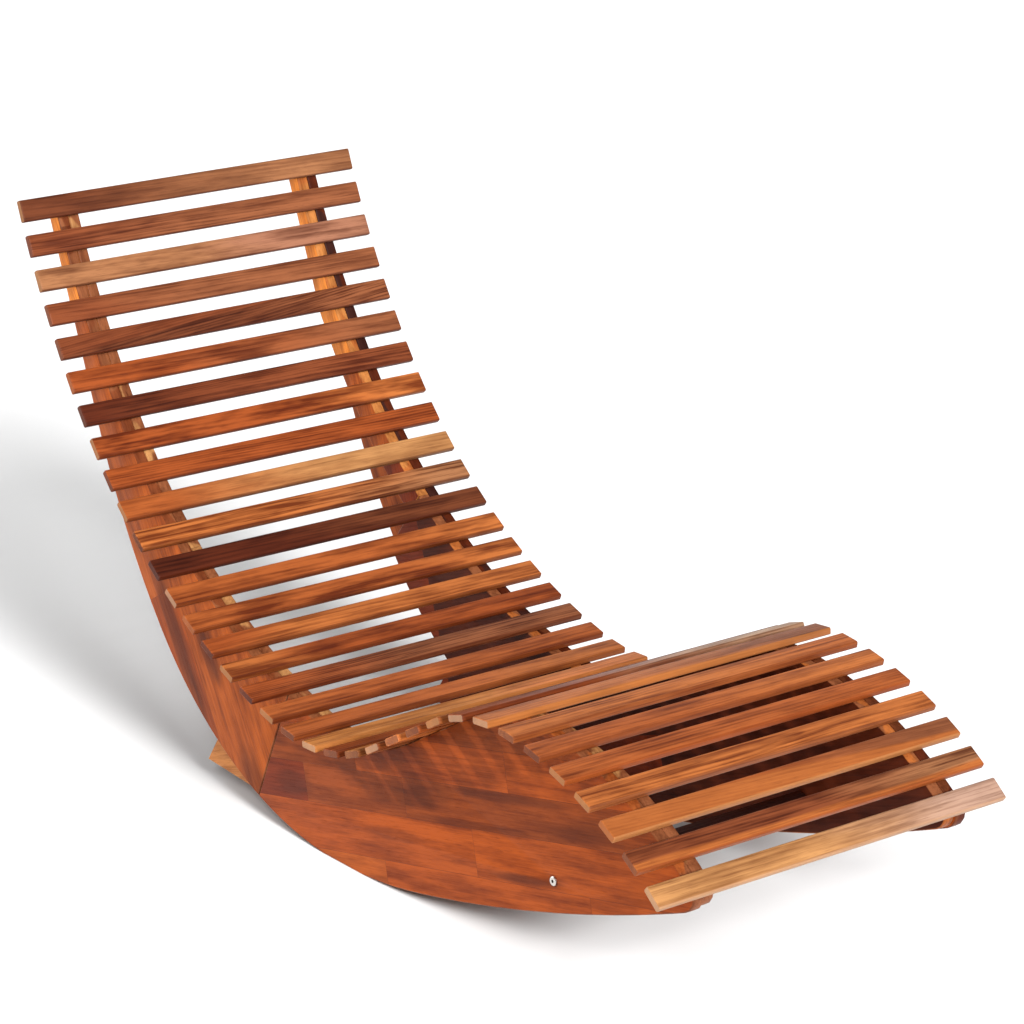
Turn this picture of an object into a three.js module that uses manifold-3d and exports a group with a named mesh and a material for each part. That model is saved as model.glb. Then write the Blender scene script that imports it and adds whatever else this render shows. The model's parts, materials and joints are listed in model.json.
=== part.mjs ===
// Rocking chaise lounge in oiled hardwood.
// Millimetres, +Z up, +X from the head end to the foot end, +Y to the sitter's left.
// Two bent side frames carry thirty-five flat slats. Each side frame is two layers of board thick.
// The outer layer is a back panel and a base panel that butt at a slanted seam.
// The inner layer is a slim back rail above a broad base liner, and the liner laps the back panel.
// Three bolts a side clamp that lap, and one cross rail ties the two side frames near the foot.
import * as THREE from "three";
import { mergeVertices } from "three/addons/utils/BufferGeometryUtils.js";
import Module from "manifold-3d";

// Slats
const slatCount = 35;
const slatLength = 600;
const slatWidth = 33.5;
const slatThickness = 10.5;
const slatChamfer = 1.6;
const slatSeatGap = 0.3;

// Edge of the side frames that the slats sit on, from the top slat down to the last slat.
// Each stretch is one arc or straight.
const seatTopHeading = THREE.MathUtils.degToRad(-68.1);
const headLength = 359;
const headHollowRadius = 1300;
const backLength = 582;
const backHollowRadius = 862;
const dipLength = 249;
const dipHollowRadius = 329;
const riseLength = 166;
const kneeLength = 154;
const kneeCrownRadius = 249;
const legLength = 334;
const legCrownRadius = 570;

// Rocker edge: back from its lowest point on one arc, eased into a straight up to the head end,
// and forward on a second arc, eased up to a round toe below the last slat.
// Its lowest point lies this deep below the slat edge, and a shallow flat is cut there to stand on.
const restPitchShare = 18.63;
const baseDepth = 194.85;
const rockBackRadius = 590;
const easeRadius = 1100;
const easeSweep = THREE.MathUtils.degToRad(16.38);
const rockFootRadius = 950;
const rockFootSweep = THREE.MathUtils.degToRad(11.6);
const restCut = 1.6;
const headLand = 10;
const headDepth = 26;
const footLand = 8;
const toeLand = 16.3;
const toeDepth = 33;
const toeRadius = 28;
const toeSweep = THREE.MathUtils.degToRad(70);
const facetLength = 26;
const fewestFacets = 3;

// Side boards
const boardThickness = 18;
const boardInset = 64;
const layerGap = 0.3;
const outerSeamGap = 1;
const innerSeamGap = 0.6;
const outerSeamPitchShare = 16.26;
const outerSeamTilt = THREE.MathUtils.degToRad(-6.7);
const innerSeamPitchShare = 10.5;
const backRailDepth = 45;
const linerInset = 3;
const lapInset = 12;

// Tip stop: the corner of the liner that stands out behind the rocker edge
const stopReach = 74;
const stopLowSweep = THREE.MathUtils.degToRad(17);
const stopHighSweep = THREE.MathUtils.degToRad(34);

// Bolts, their nuts and their bores
const boltRadius = 3;
const boltHeadRadius = 6.5;
const boltHeadHeight = 2;
const boltHeadRim = 0.6;
const socketAcrossFlats = 4;
const socketDepth = 1.4;
const boltClearance = 0.3;
const boltTipChamfer = 0.6;
const overrun = 1;
const roundSides = 24;
const hexagonSides = 6;
const weldDistance = 1e-4;

// Lap joint, bolted from the inner face of the liner
const lapBoltPitchShares = [11.1, 12.9, 14.7];
const lapBoltDepth = 70;
const insertRadius = 4.5;
const insertLength = 13;
const insertBoreDepth = 14;
const lapBoltReach = 11;

// Cross rail near the foot
const railPitchShare = 29.26;
const railDepth = 202;
const railThickness = 20;
const railHeight = 36;
const railEndGap = 0.3;
const railNutRadius = 5;
const railNutLength = 14;
const railNutInset = 24;
const railBoltReach = 32;

// Finishes
const tones = {
  umber: 0x5a3020,
  brown: 0x84482a,
  russet: 0x99502a,
  honey: 0xb57440,
  tan: 0xc79258,
};
const slatTones = [
  "brown", "brown", "honey", "brown", "umber", "russet", "umber",
  "russet", "russet", "tan", "brown", "umber", "russet", "russet",
  "russet", "russet", "brown", "brown", "honey", "brown", "umber",
  "brown", "honey", "honey", "umber", "tan", "honey", "brown",
  "russet", "brown", "brown", "russet", "honey", "umber", "tan",
];
const steelColour = 0xb9b7b2;

const wasm = await Module();
wasm.setup();

const wood = (colour) => new THREE.MeshStandardMaterial({ color: colour, roughness: 0.5, metalness: 0 });
const steel = () => new THREE.MeshStandardMaterial({ color: steelColour, roughness: 0.35, metalness: 1 });

// A geometry as a solid that can be joined and cut
function solidOf(geometry, matrix = new THREE.Matrix4()) {
  const bare = geometry.clone().applyMatrix4(matrix);
  bare.deleteAttribute("normal");
  bare.deleteAttribute("uv");
  const merged = mergeVertices(bare, weldDistance);
  const vertProperties = new Float32Array(merged.attributes.position.array);
  const triVerts = new Uint32Array(merged.index.array);
  return new wasm.Manifold(new wasm.Mesh({ numProp: 3, vertProperties, triVerts }));
}

function geometryOf(solid) {
  const mesh = solid.getMesh();
  const geometry = new THREE.BufferGeometry();
  geometry.setAttribute("position", new THREE.BufferAttribute(new Float32Array(mesh.vertProperties), 3));
  geometry.setIndex(new THREE.BufferAttribute(new Uint32Array(mesh.triVerts), 1));
  return geometry;
}

// A cylinder from one point along one axis, as a solid
function rod(start, axis, length, radius, sides = roundSides) {
  const turn = new THREE.Quaternion().setFromUnitVectors(new THREE.Vector3(0, 1, 0), axis);
  const middle = start.clone().addScaledVector(axis, length / 2);
  const matrix = new THREE.Matrix4().compose(middle, turn, new THREE.Vector3(1, 1, 1));
  return solidOf(new THREE.CylinderGeometry(radius, radius, length, sides), matrix);
}

// The slat edge, stretch by stretch: a plus radius hollows it, a minus radius crowns it, zero is straight
const seatStretches = [
  { length: headLength, bendRadius: headHollowRadius },
  { length: backLength, bendRadius: backHollowRadius },
  { length: dipLength, bendRadius: dipHollowRadius },
  { length: riseLength, bendRadius: 0 },
  { length: kneeLength, bendRadius: -kneeCrownRadius },
  { length: legLength, bendRadius: -legCrownRadius },
];
const lastSlat = slatCount - 1;
const slatPitch = seatStretches.reduce((total, { length }) => total + length, 0) / lastSlat;

// Point and heading at a distance along the slat edge from its top, where each stretch is straight or one arc
function seatFrom(top, distance) {
  let left = distance;
  let heading = seatTopHeading;
  const point = top.clone();
  for (const { length, bendRadius } of seatStretches) {
    const run = Math.min(left, length);
    const turn = bendRadius === 0 ? 0 : run / bendRadius;
    const chord = bendRadius === 0 ? run : 2 * bendRadius * Math.sin(turn / 2);
    const along = heading + turn / 2;
    point.add(new THREE.Vector2(Math.cos(along), Math.sin(along)).multiplyScalar(chord));
    heading += turn;
    left -= run;
    if (left <= 0) break;
  }
  const tangent = new THREE.Vector2(Math.cos(heading), Math.sin(heading));
  return { point, heading, tangent, normal: new THREE.Vector2(-tangent.y, tangent.x) };
}

// The slat edge is placed so that the origin is the lowest point of the rocker edge
const aboveRest = seatFrom(new THREE.Vector2(), restPitchShare * slatPitch).point;
const seatTop = new THREE.Vector2(0, baseDepth).sub(aboveRest);
const seatAt = (distance) => seatFrom(seatTop, distance);
const slatSeat = (index) => seatAt(index * slatPitch);

// The slat edge of a board between two slats: one flat under each slat, its ends cut past the outer slats
function seatEdge(first, last, depth = 0) {
  const points = [];
  for (let index = first; index <= last; index++) {
    const { point, tangent, normal } = slatSeat(index);
    const before = index === 0 ? headLand : slatWidth / 2;
    const after = index === lastSlat ? footLand : slatWidth / 2;
    const rest = point.clone().addScaledVector(normal, -depth);
    points.push(rest.clone().addScaledVector(tangent, -before));
    points.push(rest.clone().addScaledVector(tangent, after));
  }
  return points;
}

// Points along a chain of arcs that curl one way, in facets of about one length
function arcChain(start, heading, arcs, curl) {
  const points = [start.clone()];
  const at = start.clone();
  let angle = heading;
  for (const { sweep, radius } of arcs) {
    const steps = Math.max(fewestFacets, Math.round((sweep * radius) / facetLength));
    for (let step = 0; step < steps; step++) {
      const turn = (curl * sweep) / steps;
      const chord = 2 * radius * Math.sin(sweep / steps / 2);
      at.add(new THREE.Vector2(Math.cos(angle + turn / 2), Math.sin(angle + turn / 2)).multiplyScalar(chord));
      angle += turn;
      points.push(at.clone());
    }
  }
  return { points, angle };
}

// A place near a slat's seat, this far along the slat edge and this far below it
function belowSeat({ point, tangent, normal }, along, depth) {
  return point.clone().addScaledVector(tangent, along).addScaledVector(normal, -depth);
}

// The back of the rocker edge is a rocking arc, an easing arc and a straight that ends at the head corner.
// The straight is long enough to bring its end as far from the rocking arc's centre as the head corner is,
// and the rocking arc's sweep then turns that end onto the head corner.
const headCorner = belowSeat(slatSeat(0), -headLand, headDepth);
const rockBackCentre = new THREE.Vector2(0, rockBackRadius);
const toHead = headCorner.clone().sub(rockBackCentre);
const toEaseEnd = new THREE.Vector2(-Math.sin(easeSweep), 1 - Math.cos(easeSweep))
  .multiplyScalar(easeRadius)
  .sub(rockBackCentre);
const straightWay = new THREE.Vector2(-Math.cos(easeSweep), Math.sin(easeSweep));
const leanLength = toEaseEnd.dot(straightWay);
const straightLength = Math.sqrt(leanLength ** 2 - toEaseEnd.lengthSq() + toHead.lengthSq()) - leanLength;
const toHeadUnturned = toEaseEnd.clone().addScaledVector(straightWay, straightLength);
const rockBackSweep = toHeadUnturned.angle() - toHead.angle();
const backArcs = [
  { sweep: rockBackSweep, radius: rockBackRadius },
  { sweep: easeSweep, radius: easeRadius },
];

// The arc that leaves the front rocking arc without a kink and ends where the round toe starts
const toeStart = belowSeat(slatSeat(lastSlat), toeLand, toeDepth);
const rockFootEnd = new THREE.Vector2(Math.sin(rockFootSweep), 1 - Math.cos(rockFootSweep))
  .multiplyScalar(rockFootRadius);
const toToe = toeStart.clone().sub(rockFootEnd);
const toeBend = Math.atan2(toToe.y, toToe.x) - rockFootSweep;
const footArcs = [
  { sweep: rockFootSweep, radius: rockFootRadius },
  { sweep: 2 * toeBend, radius: toToe.length() / (2 * Math.sin(toeBend)) },
  { sweep: toeSweep, radius: toeRadius },
];

// The rocker edge on one side of the flat it stands on, set in from the outermost edge.
// The curl is 1 towards the foot and -1 towards the head.
function rockerEdge(arcs, curl, inset, fromSweep) {
  const [first, ...others] = arcs;
  const inner = first.radius - inset;
  const begin = Math.max(fromSweep, Math.acos(1 - restCut / first.radius));
  const start = new THREE.Vector2(curl * inner * Math.sin(begin), first.radius - inner * Math.cos(begin));
  const heading = curl > 0 ? begin : Math.PI - begin;
  const rest = others.map(({ sweep, radius }) => ({ sweep, radius: radius - inset }));
  return arcChain(start, heading, [{ sweep: first.sweep - begin, radius: inner }, ...rest], curl);
}

const rockerToFoot = (inset) => rockerEdge(footArcs, 1, inset, 0).points.reverse();

function rockerToHead(inset, fromSweep = 0) {
  const { points, angle } = rockerEdge(backArcs, -1, inset, fromSweep);
  const along = new THREE.Vector2(Math.cos(angle), Math.sin(angle));
  points.push(points[points.length - 1].clone().addScaledVector(along, straightLength));
  return points;
}

// The part of an outline on the left of a line, for an outline that the line parts in two
function keepLeft(points, origin, heading) {
  const across = new THREE.Vector2(-Math.sin(heading), Math.cos(heading));
  const side = (point) => point.clone().sub(origin).dot(across);
  const kept = [];
  points.forEach((point, index) => {
    const next = points[(index + 1) % points.length];
    const here = side(point);
    const there = side(next);
    if (here >= 0) kept.push(point);
    if (here * there < 0) kept.push(point.clone().lerp(next, here / (here - there)));
  });
  return kept;
}

const shift = (origin, heading, distance) =>
  origin.clone().add(new THREE.Vector2(-Math.sin(heading), Math.cos(heading)).multiplyScalar(distance));

// Outlines of the boards, drawn in the X and Z of the part
const sideOutline = [...seatEdge(0, lastSlat), ...rockerToFoot(0), ...rockerToHead(0)];
const outerSeam = seatAt(outerSeamPitchShare * slatPitch);
const outerSeamHeading = outerSeam.heading + Math.PI / 2 + outerSeamTilt;
const backPanelOutline = keepLeft(
  sideOutline,
  shift(outerSeam.point, outerSeamHeading, outerSeamGap / 2),
  outerSeamHeading,
);
const basePanelOutline = keepLeft(
  sideOutline,
  shift(outerSeam.point, outerSeamHeading, -outerSeamGap / 2),
  outerSeamHeading + Math.PI,
);

const innerSeam = seatAt(innerSeamPitchShare * slatPitch);
const innerSeamHeading = innerSeam.heading - Math.PI / 2;
const railBand = [
  ...seatEdge(0, Math.ceil(innerSeamPitchShare)),
  ...seatEdge(0, Math.ceil(innerSeamPitchShare), backRailDepth).reverse(),
];
const headEnd = rockerToHead(0).slice(-2);
const headHeading = headEnd[1].clone().sub(headEnd[0]).angle();
const backRailOutline = keepLeft(
  keepLeft(railBand, headEnd[0], headHeading + Math.PI),
  shift(innerSeam.point, innerSeamHeading, -innerSeamGap / 2),
  innerSeamHeading + Math.PI,
);

const stopStartX = -rockBackRadius * Math.sin(stopLowSweep);
const stopCorner = new THREE.Vector2(-Math.sin(stopHighSweep), -Math.cos(stopHighSweep))
  .multiplyScalar(rockBackRadius + stopReach)
  .add(rockBackCentre);
const linerOutline = keepLeft(
  [
    ...seatEdge(Math.floor(innerSeamPitchShare), lastSlat),
    ...rockerToFoot(linerInset),
    ...rockerToHead(linerInset).filter((point) => point.x > stopStartX),
    stopCorner,
    ...rockerToHead(lapInset, stopHighSweep).filter((point) => point.y < innerSeam.point.y),
  ],
  shift(innerSeam.point, innerSeamHeading, innerSeamGap / 2),
  innerSeamHeading,
);

// Layers, as distances from the middle plane
const outerFace = slatLength / 2 - boardInset;
const outerBack = outerFace - boardThickness;
const innerFace = outerBack - layerGap;
const innerBack = innerFace - boardThickness;

// A flat board between two distances from the middle plane, on the left side
function board(outline, near) {
  const geometry = new THREE.ExtrudeGeometry(new THREE.Shape(outline), {
    depth: boardThickness,
    bevelEnabled: false,
    steps: 1,
  });
  return geometry.rotateX(Math.PI / 2).translate(0, near + boardThickness, 0);
}

const lapBoltPlaces = lapBoltPitchShares.map((share) => {
  const place = belowSeat(seatAt(share * slatPitch), 0, lapBoltDepth);
  return new THREE.Vector3(place.x, 0, place.y);
});
const railBolt = belowSeat(seatAt(railPitchShare * slatPitch), 0, railDepth);
const railBoltPlace = new THREE.Vector3(railBolt.x, 0, railBolt.y);
const outward = new THREE.Vector3(0, 1, 0);
const boreRadius = boltRadius + boltClearance;

const at = (place, y) => new THREE.Vector3(place.x, y, place.z);

// A round hole along Y through or into a board on the left side
const boreY = (place, from, to, radius) => rod(at(place, from), outward, to - from, radius);

function drilled(geometry, bores) {
  return geometryOf(bores.reduce((solid, bore) => solid.subtract(bore), solidOf(geometry)));
}

// Side boards of the left side; the right side mirrors them by their places
const throughRailBore = (near) =>
  boreY(railBoltPlace, near - overrun, near + boardThickness + overrun, boreRadius);
const sideBoards = {
  back_panel: drilled(
    board(backPanelOutline, outerBack),
    lapBoltPlaces.map((place) =>
      boreY(place, outerBack - overrun, outerBack + insertBoreDepth, insertRadius + boltClearance),
    ),
  ),
  base_panel: drilled(board(basePanelOutline, outerBack), [throughRailBore(outerBack)]),
  back_rail: board(backRailOutline, innerBack),
  base_liner: drilled(board(linerOutline, innerBack), [
    throughRailBore(innerBack),
    ...lapBoltPlaces.map((place) => boreY(place, innerBack - overrun, innerFace + overrun, boreRadius)),
  ]),
};

// A flat-headed bolt along +Y with its head's outer face at the origin, hexagon socket in the head
function boltGeometry(length) {
  const profile = [
    new THREE.Vector2(0, 0),
    new THREE.Vector2(boltHeadRadius - boltHeadRim, 0),
    new THREE.Vector2(boltHeadRadius, boltHeadRim),
    new THREE.Vector2(boltHeadRadius, boltHeadHeight),
    new THREE.Vector2(boltRadius, boltHeadHeight),
    new THREE.Vector2(boltRadius, length - boltTipChamfer),
    new THREE.Vector2(boltRadius - boltTipChamfer, length),
    new THREE.Vector2(0, length),
  ];
  const body = solidOf(new THREE.LatheGeometry(profile, roundSides));
  const socketRadius = socketAcrossFlats / Math.sqrt(3);
  const start = new THREE.Vector3(0, -overrun, 0);
  return geometryOf(body.subtract(rod(start, outward, socketDepth + overrun, socketRadius, hexagonSides)));
}

const railBoltLength = boltHeadHeight + 2 * boardThickness + layerGap + railEndGap + railBoltReach;
const railBoltGeometry = boltGeometry(railBoltLength);
const lapBoltGeometry = boltGeometry(boltHeadHeight + boardThickness + layerGap + lapBoltReach);

// Threaded sleeve that takes a lap bolt, let into the inner face of the back panel
const insertGeometry = geometryOf(
  rod(new THREE.Vector3(), outward, insertLength, insertRadius).subtract(
    rod(new THREE.Vector3(0, -overrun, 0), outward, insertLength + 2 * overrun, boreRadius),
  ),
);

// Cross rail between the liners, with a bore along its length and a cross bore for the nut at each end
const railLength = 2 * (innerBack - railEndGap);
const upright = new THREE.Vector3(0, 0, 1);
const nutHalf = railNutLength / 2;
function crossRailGeometry() {
  let solid = solidOf(new THREE.BoxGeometry(railThickness, railLength, railHeight));
  for (const side of [-1, 1]) {
    const inwardAxis = new THREE.Vector3(0, -side, 0);
    const end = new THREE.Vector3(0, (side * railLength) / 2, 0).addScaledVector(inwardAxis, -overrun);
    solid = solid.subtract(rod(end, inwardAxis, railBoltReach + 2 * overrun, boreRadius));
    const low = new THREE.Vector3(0, side * (railLength / 2 - railNutInset), -nutHalf - boltClearance);
    solid = solid.subtract(rod(low, upright, railHeight, railNutRadius + boltClearance));
  }
  return geometryOf(solid);
}

// Round nut that lies across the rail and takes the rail bolt through its middle
const railNutBore = new THREE.Vector3(0, -railNutRadius - overrun, 0);
const railNutGeometry = geometryOf(
  rod(new THREE.Vector3(0, 0, -nutHalf), upright, railNutLength, railNutRadius).subtract(
    rod(railNutBore, outward, 2 * (railNutRadius + overrun), boreRadius),
  ),
);

// One slat lying along Y, its back face at the height of the origin, its long edges eased
function slatGeometry() {
  const half = slatWidth / 2;
  const section = new THREE.Shape([
    new THREE.Vector2(-half + slatChamfer, 0),
    new THREE.Vector2(half - slatChamfer, 0),
    new THREE.Vector2(half, slatChamfer),
    new THREE.Vector2(half, slatThickness - slatChamfer),
    new THREE.Vector2(half - slatChamfer, slatThickness),
    new THREE.Vector2(-half + slatChamfer, slatThickness),
    new THREE.Vector2(-half, slatThickness - slatChamfer),
    new THREE.Vector2(-half, slatChamfer),
  ]);
  const geometry = new THREE.ExtrudeGeometry(section, { depth: slatLength, bevelEnabled: false, steps: 1 });
  return geometry.rotateX(Math.PI / 2).translate(0, slatLength / 2, 0);
}

const chaise = new THREE.Group();

function add(name, geometry, material, parent = chaise) {
  const mesh = new THREE.Mesh(geometry, material);
  mesh.name = name;
  parent.add(mesh);
  return mesh;
}

const slat = slatGeometry();
for (let index = 0; index < slatCount; index++) {
  const { point, heading, normal } = slatSeat(index);
  const seat = point.clone().addScaledVector(normal, slatSeatGap);
  const name = "slat_" + String(index + 1).padStart(2, "0");
  const mesh = add(name, slat, wood(tones[slatTones[index % slatTones.length]]));
  mesh.position.set(seat.x, 0, seat.y);
  mesh.rotation.y = -heading;
}

// The same board on the other side of the middle plane, its faces turned to point out again
function mirrored(geometry) {
  const copy = geometry.clone();
  copy.scale(1, -1, 1);
  const solid = copy.index ? copy.toNonIndexed() : copy;
  const places = solid.attributes.position;
  for (let corner = 0; corner < places.count; corner += 3) {
    const [x, y, z] = [places.getX(corner), places.getY(corner), places.getZ(corner)];
    places.setXYZ(corner, places.getX(corner + 1), places.getY(corner + 1), places.getZ(corner + 1));
    places.setXYZ(corner + 1, x, y, z);
  }
  return solid;
}

const boardTones = { back_panel: "russet", base_panel: "russet", back_rail: "honey", base_liner: "honey" };
const sides = [
  { side: "left", sign: 1 },
  { side: "right", sign: -1 },
];
for (const { side, sign } of sides) {
  for (const [name, geometry] of Object.entries(sideBoards)) {
    const mesh = add(name + "_" + side, geometry, wood(tones[boardTones[name]]));
    if (sign < 0) mesh.geometry = mirrored(geometry);
  }
  const bolt = add("cross_rail_bolt_" + side, railBoltGeometry, steel());
  bolt.position.copy(at(railBoltPlace, sign * (outerFace + boltHeadHeight)));
  bolt.rotation.z = sign > 0 ? Math.PI : 0;
  const nut = add("cross_rail_nut_" + side, railNutGeometry, steel());
  nut.position.copy(at(railBoltPlace, sign * (railLength / 2 - railNutInset)));
  lapBoltPlaces.forEach((place, index) => {
    const lapBolt = add("lap_bolt_" + side + "_" + (index + 1), lapBoltGeometry, steel());
    lapBolt.position.copy(at(place, sign * (innerBack - boltHeadHeight)));
    lapBolt.rotation.z = sign > 0 ? 0 : Math.PI;
    const insert = add("lap_insert_" + side + "_" + (index + 1), insertGeometry, steel());
    insert.position.copy(at(place, sign * (outerBack + boltClearance)));
    insert.rotation.z = sign > 0 ? 0 : Math.PI;
  });
}
add("cross_rail", crossRailGeometry(), wood(tones.brown)).position.copy(railBoltPlace);

// The origin is the middle of the footprint, on the floor
const bounds = new THREE.Box3().setFromObject(chaise, true);
chaise.position.set(-(bounds.min.x + bounds.max.x) / 2, 0, -bounds.min.z);
const part = new THREE.Group();
part.add(chaise);

export default part;
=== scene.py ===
import json
import math

import bpy
import numpy as np
from mathutils import Euler, Matrix, Vector

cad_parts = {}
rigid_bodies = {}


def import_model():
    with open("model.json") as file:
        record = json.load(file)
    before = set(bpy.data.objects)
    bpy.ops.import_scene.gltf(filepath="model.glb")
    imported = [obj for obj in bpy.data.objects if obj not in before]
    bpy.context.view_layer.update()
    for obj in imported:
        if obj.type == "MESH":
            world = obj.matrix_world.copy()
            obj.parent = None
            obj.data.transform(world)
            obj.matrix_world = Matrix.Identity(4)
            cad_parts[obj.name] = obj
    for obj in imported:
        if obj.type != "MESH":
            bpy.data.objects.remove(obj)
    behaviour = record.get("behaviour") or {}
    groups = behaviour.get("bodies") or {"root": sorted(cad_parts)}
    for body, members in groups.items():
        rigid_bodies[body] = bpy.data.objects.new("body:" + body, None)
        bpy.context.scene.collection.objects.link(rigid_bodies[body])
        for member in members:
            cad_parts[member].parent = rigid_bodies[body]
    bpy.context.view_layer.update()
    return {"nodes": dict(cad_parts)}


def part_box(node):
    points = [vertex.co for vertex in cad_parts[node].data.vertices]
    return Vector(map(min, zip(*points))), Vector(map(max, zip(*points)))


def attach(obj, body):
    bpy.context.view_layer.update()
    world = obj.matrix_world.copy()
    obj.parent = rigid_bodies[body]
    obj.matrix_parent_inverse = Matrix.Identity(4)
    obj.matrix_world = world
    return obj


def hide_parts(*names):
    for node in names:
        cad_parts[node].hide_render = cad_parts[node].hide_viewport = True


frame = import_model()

# The studio: a plain pale floor under an even pale sky. A soft key lamp, low at the foot end and to
# the camera's right, throws the shadow back past the head end. A fill lamp by the camera lights the
# near side. The camera stands where the photograph was taken from.
scene = bpy.context.scene
scene.view_settings.view_transform = "Standard"

camera_place = Vector((4.0631, -3.0561, 2.1209))
to_right = Vector((0.60861, 0.79347, 0.0))
to_top = Vector((-0.24320, 0.18654, 0.95187))
to_back = Vector((0.75528, -0.57931, 0.30650))
camera_axes = Matrix((to_right, to_top, to_back)).transposed()
camera_data = bpy.data.cameras.new("studio_camera")
camera_data.lens = 132.156
camera_data.sensor_width = 36.0
studio_camera = bpy.data.objects.new("studio_camera", camera_data)
studio_camera.matrix_world = Matrix.Translation(camera_place) @ camera_axes.normalized().to_4x4()
scene.collection.objects.link(studio_camera)
scene.camera = studio_camera

# Behind the chaise the sky brightens to a wide pale screen, whose sheen lies on the level slats.
# Seen directly, the sky is as white as the floor.
sky_glow, screen_glow = 0.36, 0.7
screen_rim, screen_core = 0.84, 0.95
screen_heading = Vector((-0.74, 0.60, 0.26)).normalized()
sky = bpy.data.worlds.new("pale_sky")
sky.use_nodes = True
sky.node_tree.nodes["Background"].inputs["Color"].default_value = (1.0, 1.0, 1.0, 1.0)
heading = sky.node_tree.nodes.new("ShaderNodeTexCoord")
nearness = sky.node_tree.nodes.new("ShaderNodeVectorMath")
nearness.operation = "DOT_PRODUCT"
nearness.inputs[1].default_value = screen_heading
sky.node_tree.links.new(heading.outputs["Generated"], nearness.inputs[0])
screen = sky.node_tree.nodes.new("ShaderNodeMapRange")
screen.interpolation_type = "SMOOTHSTEP"
screen.inputs["From Min"].default_value = screen_rim
screen.inputs["From Max"].default_value = screen_core
screen.inputs["To Min"].default_value = sky_glow
screen.inputs["To Max"].default_value = screen_glow
sky.node_tree.links.new(nearness.outputs["Value"], screen.inputs["Value"])
seen = sky.node_tree.nodes.new("ShaderNodeLightPath")
pale = sky.node_tree.nodes.new("ShaderNodeMath")
pale.operation = "MAXIMUM"
sky.node_tree.links.new(screen.outputs[0], pale.inputs[0])
sky.node_tree.links.new(seen.outputs["Is Camera Ray"], pale.inputs[1])
sky.node_tree.links.new(pale.outputs[0], sky.node_tree.nodes["Background"].inputs["Strength"])
scene.world = sky


def sun_lamp(name, direction, energy, spread):
    """A distant soft lamp that shines from one direction, its spread in degrees."""
    data = bpy.data.lights.new(name, "SUN")
    data.energy = energy
    data.angle = math.radians(spread)
    lamp = bpy.data.objects.new(name, data)
    lamp.rotation_mode = "QUATERNION"
    lamp.rotation_quaternion = direction.to_track_quat("Z", "Y")
    scene.collection.objects.link(lamp)
    return lamp


sun_lamp("key_lamp", Vector((0.894, -0.190, 0.407)), energy=3.75, spread=11)
sun_lamp("fill_lamp", Vector((0.616, -0.555, 0.559)), energy=1.6, spread=15)

# A third lamp from the head side draws the light bars under the seat; a flag keeps it off the floor.
# A fourth, beside the key lamp, lights the floor alone and keeps it white in front.
head_lamp = sun_lamp("head_lamp", Vector((-0.72, -0.50, 0.48)), energy=2.1, spread=4)
lit_pieces = bpy.data.collections.new("lit_by_head_lamp")
head_lamp.light_linking.receiver_collection = lit_pieces
floor_lamp = sun_lamp("floor_lamp", Vector((0.850, -0.210, 0.480)), energy=4.9, spread=18)
lit_floor = bpy.data.collections.new("lit_by_floor_lamp")
floor_lamp.light_linking.receiver_collection = lit_floor

floor_reach = 30.0
floor_shade = 0.66
floor_mesh = bpy.data.meshes.new("studio_floor")
floor_corners = floor_reach * np.array([[-1, -1, 0], [1, -1, 0], [1, 1, 0], [-1, 1, 0]])
floor_mesh.from_pydata(floor_corners.tolist(), [], [(0, 1, 2, 3)])
floor_paint = bpy.data.materials.new("floor_paint")
floor_paint.use_nodes = True
floor_shader = floor_paint.node_tree.nodes["Principled BSDF"]
floor_shader.inputs["Base Color"].default_value = (floor_shade, floor_shade, floor_shade, 1)
floor_shader.inputs["Roughness"].default_value = 0.9
floor_mesh.materials.append(floor_paint)
studio_floor = bpy.data.objects.new("studio_floor", floor_mesh)
scene.collection.objects.link(studio_floor)
lit_floor.objects.link(studio_floor)


# The slats: thirty-five flat bars of oiled hardwood, planed, with eased edges and cut ends.
# Each comes from another board, so tone, growth rings and sapwood differ from bar to bar. Some
# tones also paint light and shade: a pale sheen at the far ends of the level slats, shade and
# highlights on the footward edges, and light on slat 24, which lies in shade in the seat's valley.
# They lie across the two side frames, held from behind, so no fastener shows on them.
slat_corner = 0.0027
slat_end_ease = 0.0012
oil_shine = 0.15
grain_relief = 0.0004
tone_drift = 0.24


def tone(red, green, blue):
    """A wood tone from its screen values, 0 to 255, as the linear colour that the shader takes."""
    screen = np.array([red, green, blue]) / 255
    linear = np.where(screen <= 0.04045, screen / 12.92, ((screen + 0.055) / 1.055) ** 2.4)
    return (*linear.tolist(), 1.0)


maroon = tone(68, 25, 10)
umber = tone(86, 42, 22)
cocoa = tone(103, 50, 26)
brown = tone(114, 64, 38)
rust = tone(123, 56, 22)
russet = tone(135, 67, 29)
ginger = tone(150, 82, 38)
fawn = tone(128, 82, 52)
honey = tone(156, 96, 48)
tan = tone(156, 107, 64)
blond = tone(166, 128, 98)
apricot_painted_light = tone(190, 108, 56)
hazel = tone(126, 81, 60)
blush_sheen = tone(148, 114, 96)


def link(tree, value, socket):
    """Feeds a socket: from another node's output where value is one, and as a plain number otherwise."""
    if isinstance(value, bpy.types.NodeSocket):
        tree.links.new(value, socket)
    elif value is not None:
        socket.default_value = value


def math_node(tree, operation, first, second=None, third=None, clamp=False):
    """One sum in a node tree, as the output socket of its Math node."""
    node = tree.nodes.new("ShaderNodeMath")
    node.operation = operation
    node.use_clamp = clamp
    for socket, value in zip(node.inputs, (first, second, third)):
        link(tree, value, socket)
    return node.outputs[0]


def blend_colours(tree, share, under, over, mode="MIX"):
    """Lays one colour over another by a share from 0 to 1, as an output socket."""
    node = tree.nodes.new("ShaderNodeMix")
    node.data_type = "RGBA"
    node.blend_type = mode
    link(tree, share, node.inputs[0])
    link(tree, under, node.inputs[6])
    link(tree, over, node.inputs[7])
    return node.outputs[2]


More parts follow.
